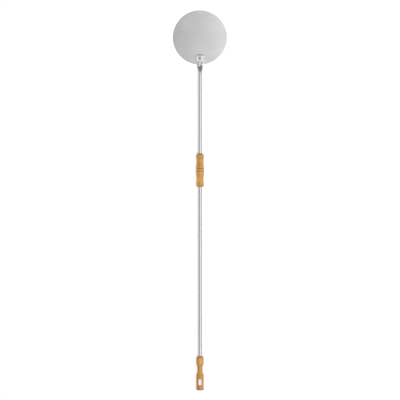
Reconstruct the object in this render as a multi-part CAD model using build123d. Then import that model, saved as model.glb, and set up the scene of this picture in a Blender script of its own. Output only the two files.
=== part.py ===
from build123d import *
import math
import os

# Small round turning peel, lying flat. Millimetres, +Z up.
# The origin is the centre of the blade's underside. +Y points to the blade's front edge,
# and the handle runs towards -Y.

# ---- blade -------------------------------------------------------------------------------
overall_length = 1400.0
blade_diameter = 200.0
sheet = 1.2                      # thickness of the blade's sheet
rim_round = 0.4                  # rounding of the blade's cut edge

pocket_length = 36.0             # raised pocket over the pressed end of the tube
pocket_width = 32.4              # across the foot of its slopes
pocket_slope_run = 4.8           # plan width of each side slope, foot to top
pocket_front_steepness = 0.65    # plan width of the front slope, as a share of a side slope's
pocket_corner = 4.5              # plan radius of its two front corners
pocket_arch = 1.5                # how far the middle of its front bows forward
pocket_top_round = 1.4
pocket_gap = 0.05                # between the pressed tube and the pocket's roof

# ---- handle tube -------------------------------------------------------------------------
tube_diameter = 16.0
tube_wall = 1.0
tube_axis_height = 15.0          # above the blade's underside
flat_width = 23.0                # pressed end of the tube
flat_height = 2.6
flat_squareness = 4.5            # exponent of the pressed section: 2 is an ellipse
neck_length = 33.0               # behind the blade's edge, where the tube is round again
neck_fullness = 0.75             # under 1, the neck narrows early
lift_length = 80.0               # behind the blade's edge, where the tube runs level again
dish_depth = 1.3                 # hollow that pressing leaves on top of the neck
dish_width = 4.6
dish_centre = 8.0                # behind the blade's edge
dish_reach = 6.5
dish_onset = 4.0                 # length over which the hollow sets in
section_points = 32
neck_stations = (0, 1, 3, 5, 8, 11, 14, 18, 22, 27, 33, 41, 49, 57, 64, 70, 75, 78, 79.5)

# ---- rivets ------------------------------------------------------------------------------
rivet_shank = 4.0
rivet_head = 6.8
rivet_dome = 1.9
rivet_flush_head = 6.0
rivet_pair_spacing = 12.6
rivet_pair_inset = 6.0           # from the blade's rear edge
rivet_front_step = 17.5          # from the pair to the front rivet
rivet_hole_clearance = 0.03

stop_from_tip = 524.6            # stop rivet, from the blade's front edge
stop_head = 6.0
stop_dome = 1.5
stop_shank = 3.2
stop_tail = 4.5                  # diameter of its upset end inside the tube
stop_tail_length = 0.8

# ---- sliding grip ------------------------------------------------------------------------
grip_from_tip = 528.0            # front face of the grip at rest
grip_length = 124.0
grip_face = 18.8                 # diameter of its two end faces
front_bulge = 29.8
front_waist = 26.8
barrel = 30.0
rear_waist = 26.2
rear_bulge = 29.8
barrel_start = 53.0              # from the grip's front face
barrel_end = 72.0
groove_places = (56.8, 65.8)
groove_width = 2.2
groove_depth = 0.9

sleeve_wall = 0.65
sleeve_clearance = 0.06          # radial, on each side of the sleeve
sleeve_inset = 1.0               # from each end face of the grip

# ---- end grip ----------------------------------------------------------------------------
end_grip_length = 126.0
end_grip_rear = 28.4             # diameter of the part with the slot
end_grip_waist = 19.6
end_grip_front_band = 28.1
end_grip_mouth = 18.0
end_grip_rounding = 2.4          # of its rear face's edge
band_round = 1.6                 # where the front band turns into its chamfer
rear_part_end = 54.0             # stations from the grip's rear face
waist_place = 77.0
band_start = 98.5
band_end = 119.4
end_bore_depth = 34.0
end_bore_clearance = 0.05

slot_width = 11.0
slot_length = 25.0
slot_place = 29.0                # centre of the hanging slot, from the rear face
slot_rounding = 1.0

pin_diameter = 3.0
pin_place = 109.0                # from the rear face
pin_length = 9.0
pin_recess = 0.15
pin_chamfer = 0.3

# ---- what follows from them --------------------------------------------------------------
blade_radius = blade_diameter / 2
tube_radius = tube_diameter / 2
rear_edge = -blade_radius
tail = blade_radius - overall_length
pocket_front = rear_edge + pocket_length
pressed_end = pocket_front - 5.0
pocket_roof = flat_height + pocket_gap
pocket_top = pocket_roof + sheet
slope = pocket_slope_run / flat_height
sleeve_radius = tube_radius + sleeve_clearance + sleeve_wall
grip_bore_radius = sleeve_radius + sleeve_clearance
end_grip_mouth_face = tail + end_grip_length
tube_tail = end_grip_mouth_face - end_bore_depth + 0.5
pair_line = rear_edge + rivet_pair_inset
rivet_places = {
    "blade_rivet_front": (0.0, pair_line + rivet_front_step),
    "blade_rivet_left": (-rivet_pair_spacing / 2, pair_line),
    "blade_rivet_right": (rivet_pair_spacing / 2, pair_line),
}


def ease(fraction):
    """Smooth step from 0 to 1."""
    fraction = min(max(fraction, 0.0), 1.0)
    return fraction * fraction * (3 - 2 * fraction)


def rod(radius, length):
    """Cylinder on the +Y axis, from y = 0 backwards."""
    return Rot(90, 0, 0) * Cylinder(radius, length, align=(Align.CENTER, Align.CENTER, Align.MIN))


def turned(outline, front):
    """Solid of revolution about the tube's axis. The outline's y is measured from front."""
    solid = revolve(make_face(outline), Axis.Y, 360)
    return Pos(0, front, tube_axis_height) * solid


def dome(diameter, height):
    """Spherical cap on the plane z = 0."""
    half = diameter / 2
    radius = (half * half + height * height) / (2 * height)
    ball = Pos(0, 0, height - radius) * Sphere(radius)
    return ball & Cylinder(half * 1.2, height, align=(Align.CENTER, Align.CENTER, Align.MIN))


# ---- blade -------------------------------------------------------------------------------
def pocket_outline(inset, height):
    """Plan outline of the pocket at one height, from past the rear edge to its arched front."""
    half = pocket_width / 2 - inset
    front = pocket_front - inset * pocket_front_steepness
    rear = rear_edge - pocket_length
    corner = pocket_corner - 0.6 * inset
    outline = [
        Line((half, rear), (half, front - corner)),
        RadiusArc((half, front - corner), (half - corner, front), -corner),
        ThreePointArc((half - corner, front), (0, front + pocket_arch), (corner - half, front)),
        RadiusArc((corner - half, front), (-half, front - corner), -corner),
        Line((-half, front - corner), (-half, rear)),
        Line((-half, rear), (half, rear)),
    ]
    return Pos(0, 0, height) * make_face(outline)


def pocket_block(top, foot_inset):
    """Solid with sloping sides, from the underside up to a height."""
    low = pocket_outline(foot_inset, 0)
    high = pocket_outline(foot_inset + slope * top, top)
    return loft([low, high], ruled=True)


def blade():
    """Round sheet, with a pocket pressed up out of it for the end of the tube."""
    disc = Pos(0, 0, sheet / 2) * Cylinder(blade_radius, sheet)
    disc = fillet(disc.edges().filter_by(GeomType.CIRCLE), rim_round)
    raised = pocket_block(pocket_top, -slope * sheet)
    top_edges = raised.edges().filter_by(lambda edge: edge.center().Z > pocket_top - 0.01)
    front_edges = top_edges.filter_by(lambda edge: edge.center().Y > rear_edge - pocket_length + 1)
    raised = fillet(front_edges, pocket_top_round)
    raised &= Cylinder(blade_radius, pocket_top * 3)
    plate = disc + raised
    slant = math.hypot(1, slope)
    plate -= pocket_block(pocket_roof, sheet * slant - slope * sheet)
    hole_radius = rivet_shank / 2 + rivet_hole_clearance
    for x, y in rivet_places.values():
        plate -= Pos(x, y, pocket_top) * Cylinder(hole_radius, pocket_top)
    return plate


# ---- handle tube -------------------------------------------------------------------------
def tube_section(behind, shrink):
    """Cross-section of the front end, some way behind the blade's edge, smaller by shrink."""
    pressed = 1 - ease(behind / neck_length)
    half_width = tube_radius + (flat_width / 2 - tube_radius) * (1 - (1 - pressed) ** neck_fullness)
    half_height = tube_radius - (tube_radius - flat_height / 2) * pressed
    power = 2 / (2 + (flat_squareness - 2) * pressed ** 2)
    lift = (tube_axis_height - tube_radius) * ease(behind / lift_length)
    dish = dish_depth * math.exp(-((behind - dish_centre) / dish_reach) ** 2) * ease(behind / dish_onset)
    points = []
    for step in range(section_points):
        angle = 2 * math.pi * step / section_points
        across = math.copysign(abs(math.cos(angle)) ** power, math.cos(angle))
        up = math.copysign(abs(math.sin(angle)) ** power, math.sin(angle))
        x = across * (half_width - shrink)
        z = lift + half_height + up * (half_height - shrink)
        z -= dish * math.exp(-((x / dish_width) ** 2)) * max(up, 0) ** 2
        points.append((x, rear_edge - behind, z))
    return Face(Wire(Spline(*points, periodic=True)))


def round_section(shrink):
    """Round cross-section where the tube runs level again."""
    plane = Plane((0, rear_edge - lift_length, tube_axis_height), x_dir=(1, 0, 0), z_dir=(0, 1, 0))
    return plane * Circle(tube_radius - shrink)


def front_end(shrink):
    """Pressed end and neck of the tube as one solid, smaller by shrink."""
    end_face = tube_section(0, shrink)
    straight = extrude(end_face, amount=pressed_end - rear_edge + shrink, dir=(0, 1, 0))
    sections = [tube_section(behind, shrink) for behind in neck_stations]
    return straight + loft(sections + [round_section(shrink)])


def handle_tube():
    """Round tube, pressed flat at its front end, with holes for the rivets, stop and pin."""
    level_start = rear_edge - lift_length
    outer = Pos(0, level_start, tube_axis_height) * rod(tube_radius, level_start - tube_tail)
    inner = Pos(0, level_start, tube_axis_height) * rod(tube_radius - tube_wall, level_start - tube_tail)
    tube = (outer + front_end(0)) - inner - front_end(tube_wall)
    for x, y in rivet_places.values():
        tube -= Pos(x, y, 0) * rivet_space()
    tube -= stop_place() * Cylinder(stop_shank / 2, tube_radius)
    tube -= pin_hole()
    return tube


# ---- rivets and pin ----------------------------------------------------------------------
def rivet_space():
    """Room for one blade rivet in the tube: a hole, countersunk below."""
    hole = Cylinder(
        rivet_shank / 2 + rivet_hole_clearance, pocket_top, align=(Align.CENTER, Align.CENTER, Align.MIN)
    )
    return hole + flush_head(rivet_hole_clearance)


def flush_head(extra):
    """Countersunk head, flush with the underside."""
    return Cone(
        rivet_flush_head / 2 + extra,
        rivet_shank / 2 + extra,
        tube_wall,
        align=(Align.CENTER, Align.CENTER, Align.MIN),
    )


def blade_rivet(x, y):
    """Rivet with a domed head above the pocket and a flush head below."""
    shank = Cylinder(rivet_shank / 2, pocket_top, align=(Align.CENTER, Align.CENTER, Align.MIN))
    head = Pos(0, 0, pocket_top) * dome(rivet_head, rivet_dome)
    return Pos(x, y, 0) * (shank + head + flush_head(0))


def stop_place():
    """Location of the stop rivet: on the tube's left side, with its own z axis pointing out."""
    return Location((-tube_radius, blade_radius - stop_from_tip, tube_axis_height), (0, -90, 0))


def stop_rivet():
    """Small domed rivet in the tube's side, which the sliding grip comes to rest against."""
    seat = tube_radius - math.sqrt(tube_radius ** 2 - (stop_head / 2) ** 2)
    skirt = Cylinder(stop_head / 2, seat, align=(Align.CENTER, Align.CENTER, Align.MAX))
    shank = Cylinder(stop_shank / 2, tube_wall * 2, align=(Align.CENTER, Align.CENTER, Align.MAX))
    upset_end = Pos(0, 0, -tube_wall * 2) * Cylinder(stop_tail / 2, stop_tail_length)
    head = dome(stop_head, stop_dome) + skirt
    centre_line = Pos(0, blade_radius - stop_from_tip + 20, tube_axis_height)
    head = stop_place() * head - centre_line * rod(tube_radius, 40)
    return head + stop_place() * (shank + upset_end)


def pin_location():
    """Lower end of the end grip's pin, which points up."""
    z = tube_axis_height - end_grip_front_band / 2 + pin_recess
    return Pos(0, tail + pin_place, z)


def pin_hole():
    """Hole for the pin, open below the end grip and as deep as the pin."""
    return pin_location() * Cylinder(pin_diameter / 2, pin_length * 2)


def end_grip_pin():
    """Plain pin, driven up through the wood and the tube's wall."""
    pin = Cylinder(pin_diameter / 2, pin_length, align=(Align.CENTER, Align.CENTER, Align.MIN))
    pin = chamfer(pin.edges().filter_by(GeomType.CIRCLE), pin_chamfer)
    return pin_location() * pin


# ---- sliding grip and its sleeve ---------------------------------------------------------
def groove(place):
    """Outline of one burnt V groove."""
    edge = barrel / 2
    half = groove_width / 2
    return [
        Line((edge, half - place), (edge - groove_depth, -place)),
        Line((edge - groove_depth, -place), (edge, -half - place)),
    ]


def slide_grip():
    """Turned wooden grip: two end bulges, two waists and a grooved barrel between them."""
    bore = grip_bore_radius
    face = grip_face / 2
    edge = barrel / 2
    half = groove_width / 2
    first, second = groove_places
    front = Spline(
        (face, 0),
        (12.6, -3.8),
        (14.3, -7.4),
        (front_bulge / 2, -11.2),
        (14.0, -21.0),
        (front_waist / 2, -29.0),
        (13.7, -37.0),
        (14.4, -45.0),
        (14.85, -50.0),
        (edge, -barrel_start),
    )
    rear = Spline(
        (edge, -barrel_end),
        (14.3, -82.5),
        (13.3, -91.5),
        (rear_waist / 2, -97.5),
        (14.1, -104.6),
        (rear_bulge / 2, -111.2),
        (14.2, -117.8),
        (12.3, -121.4),
        (face, -grip_length),
        tangents=[(0, -1), (-1, -0.55)],
    )
    outline = [
        Line((bore, 0), (face, 0)),
        front,
        Line((edge, -barrel_start), (edge, half - first)),
        *groove(first),
        Line((edge, -half - first), (edge, half - second)),
        *groove(second),
        Line((edge, -half - second), (edge, -barrel_end)),
        rear,
        Line((face, -grip_length), (bore, -grip_length)),
        Line((bore, -grip_length), (bore, 0)),
    ]
    return turned(outline, blade_radius - grip_from_tip)


def grip_sleeve():
    """Thin sleeve between the tube and the sliding grip."""
    length = grip_length - 2 * sleeve_inset
    sleeve = rod(sleeve_radius, length) - rod(tube_radius + sleeve_clearance, length)
    return Pos(0, blade_radius - grip_from_tip - sleeve_inset, tube_axis_height) * sleeve


# ---- end grip ----------------------------------------------------------------------------
def end_grip():
    """Turned wooden end grip, with a blind bore for the tube and a slot to hang it by."""
    rear = end_grip_rear / 2
    band = end_grip_front_band / 2
    mouth = end_grip_mouth / 2
    waist = Spline(
        (rear, rear_part_end),
        (12.6, 59.0),
        (10.4, 67.0),
        (end_grip_waist / 2, waist_place),
        (10.4, 85.5),
        (12.4, 92.5),
        (band, band_start),
        tangents=[(0, 1), (0, 1)],
    )
    outline = [
        Line((0, 0), (rear - end_grip_rounding, 0)),
        RadiusArc((rear - end_grip_rounding, 0), (rear, end_grip_rounding), -end_grip_rounding),
        Line((rear, end_grip_rounding), (rear, rear_part_end)),
        waist,
        Line((band, band_start), (band, band_end)),
        Line((band, band_end), (mouth, end_grip_length)),
        Line((mouth, end_grip_length), (0, end_grip_length)),
        Line((0, end_grip_length), (0, 0)),
    ]
    wood = turned(outline, tail)
    shoulder = wood.edges().filter_by(
        lambda edge: edge.geom_type == GeomType.CIRCLE and abs(edge.center().Y - tail - band_end) < 0.1
    )
    wood = fillet(shoulder, band_round)
    bore = rod(tube_radius + end_bore_clearance, end_bore_depth)
    wood -= Pos(0, end_grip_mouth_face, tube_axis_height) * bore
    slot = extrude(SlotOverall(slot_length, slot_width, rotation=90), amount=end_grip_rear, both=True)
    wood -= Pos(0, tail + slot_place, tube_axis_height) * slot
    rims = wood.edges().filter_by(is_slot_rim)
    wood = fillet(rims, slot_rounding)
    return wood - pin_hole()


def is_slot_rim(edge):
    """True for the edges where the hanging slot breaks the surface."""
    box = edge.bounding_box()
    near = abs(edge.center().Y - tail - slot_place) < slot_length * 0.6
    away = abs(edge.center().Z - tube_axis_height) > end_grip_rear / 4
    return near and away and box.size.Z < end_grip_rear / 4 and box.size.X <= slot_width + 0.01


def main():
    """Write every sub-part to its own STEP file."""
    os.makedirs("parts", exist_ok=True)
    parts = {
        "blade": blade(),
        "handle_tube": handle_tube(),
        "stop_rivet": stop_rivet(),
        "slide_grip": slide_grip(),
        "grip_sleeve": grip_sleeve(),
        "end_grip": end_grip(),
        "end_grip_pin": end_grip_pin(),
    }
    for name, (x, y) in rivet_places.items():
        parts[name] = blade_rivet(x, y)
    for name, shape in parts.items():
        export_step(shape, f"parts/{name}.step")


main()
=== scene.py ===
import math

import bmesh
import bpy
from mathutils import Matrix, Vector
from mathutils.geometry import delaunay_2d_cdt


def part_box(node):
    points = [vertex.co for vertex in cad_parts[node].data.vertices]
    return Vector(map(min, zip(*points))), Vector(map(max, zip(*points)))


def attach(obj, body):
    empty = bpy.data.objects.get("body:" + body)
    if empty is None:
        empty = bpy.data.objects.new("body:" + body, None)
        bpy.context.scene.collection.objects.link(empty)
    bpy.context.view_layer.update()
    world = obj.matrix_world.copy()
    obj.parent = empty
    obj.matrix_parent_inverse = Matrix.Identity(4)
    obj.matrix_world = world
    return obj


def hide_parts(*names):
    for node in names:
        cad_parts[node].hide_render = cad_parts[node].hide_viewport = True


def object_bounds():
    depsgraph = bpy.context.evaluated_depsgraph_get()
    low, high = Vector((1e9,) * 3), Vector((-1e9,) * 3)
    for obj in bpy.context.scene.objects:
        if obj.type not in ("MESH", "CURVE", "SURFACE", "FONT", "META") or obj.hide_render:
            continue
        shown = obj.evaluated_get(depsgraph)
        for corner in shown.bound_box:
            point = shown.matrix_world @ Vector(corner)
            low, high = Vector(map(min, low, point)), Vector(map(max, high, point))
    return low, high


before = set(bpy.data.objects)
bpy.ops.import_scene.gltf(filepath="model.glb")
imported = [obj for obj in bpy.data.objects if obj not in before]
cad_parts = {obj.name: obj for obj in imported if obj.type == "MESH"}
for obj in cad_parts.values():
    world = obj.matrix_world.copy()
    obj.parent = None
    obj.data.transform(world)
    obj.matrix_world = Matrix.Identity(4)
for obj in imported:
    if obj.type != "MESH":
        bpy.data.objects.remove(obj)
cad_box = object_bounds()

MM = 0.001

# The blade's sheet, with a pocket pressed up at its rear edge.
SHEET = 1.2 * MM                 # thickness
RIM_ROUND = 0.4 * MM
POCKET_RAISE = 2.65 * MM         # of the pocket's top above the flat sheet
POCKET_HALF = 16.5 * MM          # from the middle to the foot of a side slope
SIDE_RUN = 6.0 * MM
FRONT_RUN = 4.0 * MM
POCKET_LENGTH = 36.3 * MM        # from the blade's rear edge to the front slope's foot, at its ends
POCKET_ARCH = 1.5 * MM           # by which the front slope's foot bows forward in the middle
SLOPE_BEND = 0.27                # part of a slope's run that each of its rounded ends takes

# A shallow valley beside the pocket's left ridge, where the sheet settled.
VALLEY_SAG = 0.28 * MM
VALLEY_X = -6.8 * MM
VALLEY_REACH_LEFT = 3.4 * MM
VALLEY_REACH_RIGHT = 5.5 * MM
VALLEY_FROM_REAR = 23 * MM
VALLEY_REACH_ALONG = 9.5 * MM

# The sheet's mesh: a fine grid at the pocket, and rings of points over the rest of the disc.
GRID = 0.6 * MM
FINE_HALF = POCKET_HALF + 2 * MM
FINE_PAST_FRONT = 3.5 * MM
COARSE_EDGES = 300               # round the rim, away from the pocket
RINGS = 17
RING_STEP = 4.5 * MM
RING_CROWDING = 1.25             # above 1, the rings are closer together near the rim

# The two soft lights lie along the handle, on its right.
LIGHTS_Y = -0.55
LIGHTS_LENGTH = 2.4


# ---- short calls for shader nodes --------------------------------------------------------
def rgb(red, green, blue):
    return (red, green, blue, 1.0)


def grey(level):
    return rgb(level, level, level)


class Nodes:
    """Short calls that add nodes to a node tree."""

    def __init__(self, tree, place):
        self.nodes = tree.nodes
        self.links = tree.links
        self.place = self.nodes.new("ShaderNodeTexCoord").outputs[place]

    def feed(self, socket, value):
        """Links a socket to another, or sets it to a plain value."""
        if isinstance(value, bpy.types.NodeSocket):
            self.links.new(value, socket)
        else:
            socket.default_value = value

    def add(self, kind, inputs, **settings):
        """Adds a node with these settings, and feeds its inputs, given by name or number."""
        node = self.nodes.new(kind)
        for key, value in settings.items():
            setattr(node, key, value)
        for key, value in inputs.items():
            self.feed(node.inputs[key], value)
        return node

    def axis(self, name):
        """One coordinate of the place that is being shaded."""
        return self.add("ShaderNodeSeparateXYZ", {0: self.place}).outputs[name]

    def math(self, operation, a, b=0.0, clamp=False):
        return self.add("ShaderNodeMath", {0: a, 1: b}, operation=operation, use_clamp=clamp).outputs[0]

    def distance(self, a, b):
        """Length of a step that is a along one axis and b along another."""
        return self.math("SQRT", self.math("ADD", self.math("POWER", a, 2.0), self.math("POWER", b, 2.0)))

    def spread(self, value, low, high, to_low=0.0, to_high=1.0):
        """Maps low..high smoothly to to_low..to_high."""
        inputs = dict(enumerate((value, low, high, to_low, to_high)))
        return self.add("ShaderNodeMapRange", inputs, interpolation_type="SMOOTHSTEP").outputs[0]

    def mix(self, factor, a, b, blend="MIX"):
        """Mixes two colours. Their sockets are picked by number, as other types share their names."""
        inputs = {"Factor": factor, 6: a, 7: b}
        return self.add("ShaderNodeMix", inputs, data_type="RGBA", blend_type=blend).outputs[2]

    def tint(self, tone, figure, low, high, strength, colour, blend="MIX"):
        """Lays a colour over a tone as a figure rises from low to high, up to a strength."""
        return self.mix(self.spread(figure, low, high, 0.0, strength), tone, colour, blend)

    def noise(self, cells, shift=(0, 0, 0), turn=(0, 0, 0), detail=3.0, roughness=0.5, distortion=0.0):
        """Noise of about so many cells to a metre along X, Y and Z."""
        where = {"Vector": self.place, "Scale": cells, "Location": shift, "Rotation": turn}
        inputs = {
            "Vector": self.add("ShaderNodeMapping", where).outputs["Vector"],
            "Scale": 1.0,
            "Detail": detail,
            "Roughness": roughness,
            "Distortion": distortion,
        }
        return self.add("ShaderNodeTexNoise", inputs).outputs["Fac"]

    def ragged(self, value, noise, reach):
        """A value that noise moves to and fro over a reach."""
        return self.math("ADD", value, self.math("MULTIPLY", self.math("SUBTRACT", noise, 0.5), reach))

    def bump(self, height, strength, distance, under=None):
        """Relief of the surface, over another relief if one is given."""
        inputs = {"Height": height, "Strength": strength, "Distance": distance}
        if under is not None:
            inputs["Normal"] = under
        return self.add("ShaderNodeBump", inputs).outputs["Normal"]


class Shader(Nodes):
    """A node material with one Principled shader."""

    def __init__(self, name):
        self.material = bpy.data.materials.new(name)
        self.material.use_nodes = True
        super().__init__(self.material.node_tree, "Object")
        self.surface = self.nodes["Principled BSDF"]

    def set(self, **values):
        """Sets or links inputs of the Principled shader, named with underscores for spaces."""
        for key, value in values.items():
            self.feed(self.surface.inputs[key.replace("_", " ")], value)


# ---- materials ---------------------------------------------------------------------------
def blade_steel(flat_top, tip):
    """Satin rolled stainless sheet, with fine grain along the handle, faint smears and scratches.

    The press has burnished the slopes of the pocket, and its top is lightened with a painted
    highlight. The sheet is also lighter at an oval spot near its tip.
    """
    s = Shader("blade_satin_steel")
    grain = s.noise((2600, 60, 2600), detail=4, roughness=0.6)
    smear = s.noise((9, 14, 9), turn=(0, 0, 0.6), detail=3, roughness=0.45, distortion=0.6)
    blotch = s.noise((22, 22, 22), shift=(3.1, 0.4, 0), detail=2)
    scratch_a = s.noise((1500, 13, 1500), turn=(0, 0, 0.35), detail=2, roughness=0.4)
    scratch_b = s.noise((1300, 11, 1300), turn=(0, 0, -0.95), detail=2, roughness=0.4)
    scratches = s.math("MAXIMUM", s.spread(scratch_a, 0.70, 0.78), s.spread(scratch_b, 0.71, 0.79))
    tone = s.mix(s.spread(smear, 0.3, 0.7), rgb(0.555, 0.555, 0.557), rgb(0.600, 0.600, 0.598))
    tone = s.tint(tone, grain, 0.35, 0.65, 0.22, rgb(0.490, 0.490, 0.494))
    tone = s.mix(s.math("MULTIPLY", scratches, 0.25), tone, grey(0.74))
    rough = s.spread(blotch, 0.3, 0.7, 0.34, 0.41)
    rough = s.math("ADD", rough, s.spread(grain, 0.3, 0.7, -0.03, 0.03))

    # The bright spot is an oval, drawn out along the blade.
    beyond = s.math("MULTIPLY", s.math("SUBTRACT", s.axis("Y"), tip - 6 * MM), 0.7)
    beside = s.math("SUBTRACT", s.axis("X"), 3 * MM)
    spot = s.spread(s.distance(beyond, beside), 1.5 * MM, 6.5 * MM, 0.35, 0.0)
    tone = s.mix(spot, tone, grey(0.720))

    up = s.axis("Z")
    raised = s.spread(up, flat_top + 0.05 * MM, flat_top + 0.8 * MM)
    crown = s.spread(up, flat_top + 2.25 * MM, flat_top + 2.6 * MM)
    slope = s.math("SUBTRACT", raised, crown, clamp=True)
    rough = s.math("SUBTRACT", rough, s.math("MULTIPLY", slope, 0.15))
    rough = s.math("SUBTRACT", rough, s.math("MULTIPLY", crown, 0.07))
    # Painted highlight: the top of the pocket is lightened, standing in for the light it catches.
    tone = s.mix(s.math("MULTIPLY", crown, 0.8), tone, rgb(0.740, 0.740, 0.738))

    normal = s.bump(grain, 0.10, 0.02 * MM)
    normal = s.bump(scratches, 0.12, 0.015 * MM, under=normal)
    s.set(Base_Color=tone, Metallic=1.0, Roughness=rough, Normal=normal)
    return s.material


def tube_steel():
    """Drawn stainless tube: long die lines, a little dulled by hands and the sliding grip."""
    s = Shader("tube_drawn_steel")
    lines = s.noise((3200, 9, 3200), detail=4, roughness=0.65)
    rub = s.noise((120, 6, 120), detail=3)
    haze = s.noise((30, 18, 30), detail=2)
    tone = s.mix(s.spread(lines, 0.3, 0.7), rgb(0.500, 0.500, 0.505), rgb(0.585, 0.585, 0.581))
    tone = s.tint(tone, rub, 0.55, 0.75, 0.25, grey(0.440))
    rough = s.math("ADD", s.spread(haze, 0.3, 0.7, 0.22, 0.30), s.spread(lines, 0.3, 0.7, -0.02, 0.03))
    s.set(Base_Color=tone, Metallic=1.0, Roughness=rough, Normal=s.bump(lines, 0.03, 0.02 * MM))
    return s.material


def rivet_steel(name, light, dark, foot=None):
    """Formed rivet steel, dimpled by the tool, with painted shade round the foot of its head, if given."""
    head = 1.9 * MM
    s = Shader(name)
    dimples = s.noise((900, 900, 900), detail=3)
    dirt_and_shade_noise = s.noise((420, 420, 420), shift=(1, 2, 3), detail=2)
    tone = s.mix(s.spread(dirt_and_shade_noise, 0.35, 0.65), grey(dark), grey(light))
    rough = s.spread(dimples, 0.3, 0.7, 0.14, 0.26)
    if foot is not None:
        # Painted shade: the steel darkens towards the foot of the head, where it meets the blade.
        up = s.ragged(s.axis("Z"), dirt_and_shade_noise, 0.6 * MM)
        painted_foot_shade = s.spread(up, foot + 0.15 * head, foot + 0.75 * head, 0.92, 0.0)
        above_foot = s.spread(s.axis("Z"), foot - 0.5 * MM, foot - 0.1 * MM)
        painted_foot_shade = s.math("MULTIPLY", painted_foot_shade, above_foot)
        tone = s.mix(painted_foot_shade, tone, rgb(0.050, 0.048, 0.046))
        rough = s.math("ADD", rough, s.math("MULTIPLY", painted_foot_shade, 0.25))
    s.set(Base_Color=tone, Metallic=1.0, Roughness=rough, Normal=s.bump(dimples, 0.25, 0.05 * MM))
    return s.material


def sleeve_plastic():
    """Natural nylon, faintly scuffed."""
    s = Shader("sleeve_nylon")
    scuff = s.noise((500, 60, 500), detail=3)
    tone = s.mix(s.spread(scuff, 0.3, 0.7), rgb(0.62, 0.58, 0.48), rgb(0.72, 0.69, 0.60))
    s.set(Base_Color=tone, Roughness=s.spread(scuff, 0.3, 0.7, 0.45, 0.6))
    s.set(Normal=s.bump(scuff, 0.15, 0.03 * MM))
    return s.material


def growth_rings(s, heart_x, heart_z, start):
    """Growth rings about a heart that runs along the handle, bent a little along the fibres."""
    wander = s.noise((28, 9, 28), shift=(0.7, start * 9, 0), detail=2)
    from_heart = s.add("ShaderNodeMapping", {"Vector": s.place, "Location": (-heart_x, 0, -heart_z)})
    sway = {"X": s.math("MULTIPLY", wander, 9.0 * MM), "Z": s.math("MULTIPLY", wander, 5.0 * MM)}
    offset = s.add("ShaderNodeCombineXYZ", sway)
    bent = s.add("ShaderNodeVectorMath", {0: from_heart.outputs[0], 1: offset.outputs[0]}, operation="ADD")
    shape = {"wave_type": "RINGS", "rings_direction": "Y", "wave_profile": "SAW"}
    inputs = {
        "Vector": bent.outputs[0],
        "Scale": 95.0,
        "Distortion": 1.6,
        "Detail": 2.0,
        "Detail Scale": 2.0,
    }
    return s.add("ShaderNodeTexWave", inputs, **shape).outputs["Fac"]


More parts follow.
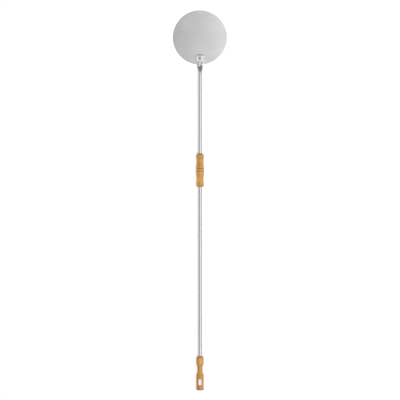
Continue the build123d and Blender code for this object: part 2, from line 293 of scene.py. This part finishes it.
def turned_wood(name, node, heart, eyes, grooves=(), flank_painted_shade=0.0):
    """Honey-varnished turned wood with its fibres along the handle, darker at the end grain.

    heart is the middle of the growth rings, across and above the piece's axis. Each eye is its
    distance behind the piece's front, its place across and its reach, and each groove is its
    distance behind the front. flank_painted_shade is how strongly painted shade darkens the left flank.
    """
    low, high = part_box(node)
    middle_x, middle_z = (low.x + high.x) / 2, (low.z + high.z) / 2
    s = Shader(name)
    along, across, up = s.axis("Y"), s.axis("X"), s.axis("Z")

    ring = growth_rings(s, heart[0], middle_z + heart[1], low.y)
    fibre = s.noise((1500, 40, 1500), detail=4, roughness=0.62)
    streak = s.noise((420, 11, 420), shift=(4, 2, 6), detail=3, roughness=0.55)
    pores = s.noise((2300, 130, 2300), shift=(5, 1, 2), detail=2, roughness=0.4)
    flecks = s.noise((330, 90, 330), shift=(2, 7, 1), detail=2)
    patch = s.noise((60, 22, 60), shift=(9, 3, 4), detail=2)
    stain = s.noise((48, 30, 48), shift=(1, 8, 5), detail=2)

    tone = s.mix(s.spread(ring, 0.05, 0.95), rgb(0.690, 0.375, 0.050), rgb(0.520, 0.240, 0.022))
    tone = s.tint(tone, patch, 0.42, 0.62, 0.75, rgb(0.750, 0.455, 0.085))
    tone = s.tint(tone, stain, 0.48, 0.64, 0.70, rgb(0.540, 0.205, 0.014))
    tone = s.tint(tone, streak, 0.50, 0.68, 0.50, rgb(0.450, 0.195, 0.016))
    tone = s.tint(tone, fibre, 0.44, 0.64, 0.42, rgb(0.420, 0.170, 0.014))
    tone = s.tint(tone, pores, 0.58, 0.66, 0.60, rgb(0.260, 0.085, 0.010))
    tone = s.tint(tone, flecks, 0.60, 0.70, 0.45, rgb(0.800, 0.540, 0.150))

    # Painted shade: one flank is darkened to a deeper gold, standing in for the shade on that side.
    flank = s.ragged(s.math("SUBTRACT", middle_x - 2.5 * MM, across), streak, 7 * MM)
    tone = s.tint(tone, flank, 0.0, 5.0 * MM, flank_painted_shade, rgb(0.72, 0.55, 0.32), blend="MULTIPLY")

    # Small eyes in the figure, where a twig's growth meets the surface.
    upper = s.spread(up, middle_z, middle_z + 4 * MM)
    for from_front, x, reach in eyes:
        away_y = s.math("MULTIPLY", s.math("SUBTRACT", along, high.y - from_front), 0.55)
        away = s.ragged(s.distance(away_y, s.math("SUBTRACT", across, x)), streak, 3 * MM)
        eye = s.math("MULTIPLY", s.spread(away, 0.2 * reach, reach, 0.85, 0.0), upper)
        tone = s.mix(eye, tone, rgb(0.436, 0.140, 0.011))

    to_front = s.math("SUBTRACT", high.y, along)
    to_rear = s.math("SUBTRACT", along, low.y)
    to_end = s.ragged(s.math("MINIMUM", to_front, to_rear), streak, 9 * MM)
    end_grain = s.spread(to_end, 0.5 * MM, 11 * MM, 0.92, 0.0)
    tone = s.mix(end_grain, tone, rgb(0.420, 0.150, 0.011))
    char = 0.0
    for from_front in grooves:
        off = s.math("ABSOLUTE", s.math("SUBTRACT", along, high.y - from_front))
        burnt = s.spread(off, 0.5 * MM, 2.2 * MM, 0.9, 0.0)
        tone = s.mix(burnt, tone, rgb(0.300, 0.095, 0.010))
        char = s.math("ADD", burnt, char)

    lathe = s.noise((40, 1100, 40), detail=2)
    relief = s.math("ADD", s.math("MULTIPLY", fibre, 0.6), s.math("MULTIPLY", pores, -0.5))
    normal = s.bump(relief, 0.18, 0.05 * MM)
    normal = s.bump(lathe, 0.10, 0.04 * MM, under=normal)
    rough = s.math("ADD", s.spread(patch, 0.3, 0.7, 0.36, 0.46), s.math("MULTIPLY", end_grain, 0.15))
    rough = s.math("ADD", rough, s.math("MULTIPLY", char, 0.2))
    s.set(Base_Color=tone, Roughness=rough, Normal=normal)
    s.set(Coat_Weight=0.9, Coat_Roughness=0.16, Coat_IOR=1.65, Specular_IOR_Level=0.15)
    s.set(Coat_Normal=s.bump(relief, 0.05, 0.05 * MM))
    return s.material


def pale_floor():
    """Matt white paper, with a barely visible tooth."""
    s = Shader("studio_paper")
    tooth = s.noise((300, 300, 300), detail=3)
    s.set(Base_Color=s.mix(s.spread(tooth, 0.3, 0.7), grey(0.40), grey(0.43)))
    s.set(Roughness=0.9, Specular_IOR_Level=0.1)
    s.set(Emission_Color=grey(1.0), Emission_Strength=0.71)
    return s.material


# ---- blade's sheet -----------------------------------------------------------------------
def put(name, data):
    """An object in the scene with this mesh, light or camera."""
    piece = bpy.data.objects.new(name, data)
    bpy.context.scene.collection.objects.link(piece)
    return piece


def pressed(part):
    """Profile of a pressed slope from 0 at its foot to 1 at its top, with both ends rounded."""
    part = min(max(part, 0.0), 1.0)
    steep = 1 / (1 - SLOPE_BEND)
    if part < SLOPE_BEND:
        return steep * part * part / (2 * SLOPE_BEND)
    if part > 1 - SLOPE_BEND:
        return 1 - steep * (1 - part) ** 2 / (2 * SLOPE_BEND)
    return steep * (part - SLOPE_BEND / 2)


def pocket_rise(x, y, rear):
    """Height of the sheet above its flat part, at one place."""
    arch = POCKET_ARCH * (1 - min(abs(x) / POCKET_HALF, 1.0) ** 2)
    side = min(max((POCKET_HALF - abs(x)) / SIDE_RUN, 0.0), 1.0)
    front = min(max((rear + POCKET_LENGTH + arch - y) / FRONT_RUN, 0.0), 1.0)
    raised = pressed(1 - math.hypot(1 - side, 1 - front))
    reach = VALLEY_REACH_LEFT if x < VALLEY_X else VALLEY_REACH_RIGHT
    valley = math.exp(-((x - VALLEY_X) / reach) ** 2)
    along = math.exp(-((y - rear - VALLEY_FROM_REAR) / VALLEY_REACH_ALONG) ** 4)
    return POCKET_RAISE * raised - VALLEY_SAG * valley * along * raised


def rim_angles(radius):
    """Angles round the blade, closer together where the pocket meets the rear edge."""
    near = math.asin(FINE_HALF / radius)
    fine = round(2 * near * radius / GRID)
    angles = [near + (2 * math.pi - 2 * near) * step / COARSE_EDGES for step in range(COARSE_EDGES)]
    angles += [-near + 2 * near * step / fine for step in range(fine)]
    return angles


def inner_points(radius, rear):
    """Points of the sheet inside its rim: rings over the disc, and a fine grid at the pocket."""
    limit_y = rear + POCKET_LENGTH + FINE_PAST_FRONT
    points = []
    for ring in range(1, RINGS):
        distance = radius * (1 - (ring / RINGS) ** RING_CROWDING)
        count = max(24, round(2 * math.pi * distance / RING_STEP))
        for step in range(count):
            angle = 2 * math.pi * (step + 0.5 * (ring % 2)) / count
            x, y = distance * math.sin(angle), -distance * math.cos(angle)
            if abs(x) > FINE_HALF + MM or y > limit_y + MM:
                points.append((x, y))
    columns, rows = round(2 * FINE_HALF / GRID), round((limit_y - rear) / GRID)
    for column in range(columns + 1):
        for row in range(rows + 1):
            x, y = -FINE_HALF + column * GRID, limit_y - row * GRID
            if math.hypot(x, y) < radius - 0.5 * GRID:
                points.append((x, y))
    return points


def rim_levels():
    """Steps of the rounded rim, from the top face to the lower one: how far out, and how far down."""
    turns = [math.radians(degrees) for degrees in (30, 60, 90)]
    upper = [(RIM_ROUND * math.sin(turn), RIM_ROUND * (1 - math.cos(turn))) for turn in turns]
    lower = [(out, SHEET - down) for out, down in reversed(upper)]
    return upper + lower


def wall(ring, below):
    """Faces between two closed rings of points."""
    return list(zip(ring, below, below[1:] + below[:1], ring[1:] + ring[:1]))


def blade_sheet():
    """The blade's sheet of even thickness, with the pocket pressed up over the end of the tube."""
    low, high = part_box("blade")
    radius, rear = min(high.x, -low.x, high.y), low.y
    flat_radius = radius - RIM_ROUND
    angles = rim_angles(flat_radius)
    flat = [(flat_radius * math.sin(angle), -flat_radius * math.cos(angle)) for angle in angles]
    flat += inner_points(flat_radius, rear)
    border = [list(range(len(angles)))]
    points = [Vector(point) for point in flat]
    plan, _, triangles, source, _, _ = delaunay_2d_cdt(points, [], border, 1, 1e-7)

    top = [(p.x, p.y, low.z + SHEET + pocket_rise(p.x, p.y, rear)) for p in plan]
    under = [(x, y, z - SHEET) for x, y, z in top]
    vertices = top + under
    shift = len(plan)
    faces = [tuple(triangle) for triangle in triangles]
    faces += [tuple(shift + index for index in reversed(triangle)) for triangle in triangles]

    place_of = {original: new for new, originals in enumerate(source) for original in originals}
    edge = [place_of[index] for index in range(len(angles))]
    ring = edge
    for out, down in rim_levels():
        below = list(range(len(vertices), len(vertices) + len(edge)))
        reach = flat_radius + out
        for angle, index in zip(angles, edge):
            vertices.append((reach * math.sin(angle), -reach * math.cos(angle), top[index][2] - down))
        faces += wall(ring, below)
        ring = below
    faces += wall(ring, [shift + index for index in edge])

    mesh = bpy.data.meshes.new("blade_sheet")
    mesh.from_pydata(vertices, [], faces)
    mesh.validate()
    work = bmesh.new()
    work.from_mesh(mesh)
    bmesh.ops.recalc_face_normals(work, faces=work.faces)
    work.to_mesh(mesh)
    work.free()
    mesh.shade_smooth()
    mesh.materials.append(blade_steel(low.z + SHEET, high.y))
    piece = put("blade_sheet", mesh)
    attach(piece, "peel")
    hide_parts("blade")


# ---- studio ------------------------------------------------------------------------------
def camera():
    """Long lens straight above, with the blade at the top of the picture."""
    low, high = cad_box
    middle = (low + high) / 2
    lens = bpy.data.cameras.new("camera")
    lens.lens = 150.0
    lens.sensor_width = 36.0
    lens.dof.use_dof = False
    half_angle = math.atan(lens.sensor_width / 2 / lens.lens)
    span = (high.y - low.y) * 1.05
    eye = put("camera", lens)
    eye.location = (middle.x, middle.y, high.z + span / 2 / math.tan(half_angle))
    eye.rotation_euler = (0, 0, 0)
    bpy.context.scene.camera = eye


def surroundings():
    """Grey studio: brightest low on the left, darker overhead, and dimmer towards the blade's front."""
    world = bpy.data.worlds.new("studio")
    bpy.context.scene.world = world
    world.use_nodes = True
    s = Nodes(world.node_tree, "Generated")
    to_right = s.add("ShaderNodeVectorMath", {0: s.place, 1: (0.86, -0.5, 0.0)}, operation="DOT_PRODUCT")
    scale = {"Value": to_right.outputs["Value"], "From Min": -1.0, "From Max": 1.0}
    from_left = s.add("ShaderNodeMapRange", scale)
    ramp = s.add("ShaderNodeValToRGB", {"Fac": from_left.outputs[0]})

    # How bright it is, from low on the left, over the top at 0.5, to low on the right.
    stops = (
        (0.0, 0.98),
        (0.09, 0.80),
        (0.2, 0.48),
        (0.34, 0.40),
        (0.5, 0.44),
        (0.62, 0.55),
        (0.8, 0.60),
        (1.0, 0.40),
    )
    line = ramp.color_ramp
    line.interpolation = "EASE"
    while len(line.elements) < len(stops):
        line.elements.new(0.5)
    for element, (where, level) in zip(line.elements, stops):
        element.position = where
        element.color = grey(level)

    to_front = s.add("ShaderNodeMapRange", {"Value": s.axis("Y"), "From Min": 0.25, "From Max": 0.85})
    background = s.nodes["Background"]
    dimmed = s.mix(to_front.outputs[0], ramp.outputs[0], grey(0.5), blend="MULTIPLY")
    s.feed(background.inputs["Color"], dimmed)
    s.feed(background.inputs["Strength"], 1.35)


def floor():
    """Large sheet of pale paper under the peel."""
    low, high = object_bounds()
    middle = (low + high) / 2
    half = 9.0
    level = low.z - 0.1 * MM
    signs = ((-1, -1), (1, -1), (1, 1), (-1, 1))
    corners = [(middle.x + a * half, middle.y + b * half, level) for a, b in signs]
    mesh = bpy.data.meshes.new("studio_floor")
    mesh.from_pydata(corners, [], [(0, 1, 2, 3)])
    mesh.materials.append(pale_floor())
    piece = put("studio_floor", mesh)


def soft_box(name, x, height, aim_x, width, power):
    """Soft light over one line along the handle, facing the floor at another."""
    light = bpy.data.lights.new(name, "AREA")
    light.shape = "RECTANGLE"
    light.size, light.size_y = LIGHTS_LENGTH, width
    light.energy = power
    lamp = put(name, light)
    place, aim = Vector((x, LIGHTS_Y, height)), Vector((aim_x, LIGHTS_Y, 0.0))
    lamp.location = place
    lamp.rotation_euler = (aim - place).to_track_quat("-Z", "Y").to_euler()
    lamp.visible_camera = False


camera()
surroundings()
floor()
soft_box("key_right", x=0.46, height=0.55, aim_x=0.38, width=0.84, power=4.0)
soft_box("key_strip", x=0.36, height=1.50, aim_x=0.0, width=0.26, power=2.8)
bpy.context.scene.view_settings.view_transform = "Standard"


# ---- the peel ----------------------------------------------------------------------------
def dress(material, *nodes):
    """Gives CAD nodes a material."""
    for node in nodes:
        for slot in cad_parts[node].material_slots:
            slot.material = material


blade_sheet()
dress(tube_steel(), "handle_tube")
blade_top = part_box("blade")[1].z
blade_rivets = rivet_steel("rivet_formed_steel", light=0.52, dark=0.34, foot=blade_top)
dress(blade_rivets, "blade_rivet_front", "blade_rivet_left", "blade_rivet_right")
# Painted shade: the stop rivet and the end grip's pin share a darker copy of the rivet steel, standing in
# for the shade on the stop rivet.
dress(rivet_steel("pin_steel_painted_shade", light=0.30, dark=0.16), "stop_rivet", "end_grip_pin")
dress(sleeve_plastic(), "grip_sleeve")

slide_wood = turned_wood(
    "grip_varnished_wood",
    "slide_grip",
    heart=(-21 * MM, 6 * MM),
    eyes=((17 * MM, 1 * MM, 4.5 * MM), (84 * MM, 0.5 * MM, 4.0 * MM), (112 * MM, -5 * MM, 3.5 * MM)),
    grooves=(56.8 * MM, 65.8 * MM),
)
dress(slide_wood, "slide_grip")
end_wood = turned_wood(
    "end_varnished_wood",
    "end_grip",
    heart=(-17 * MM, -9 * MM),
    eyes=((112 * MM, 2 * MM, 4.0 * MM), (34 * MM, 4 * MM, 3.0 * MM)),
    flank_painted_shade=0.85,
)
dress(end_wood, "end_grip")
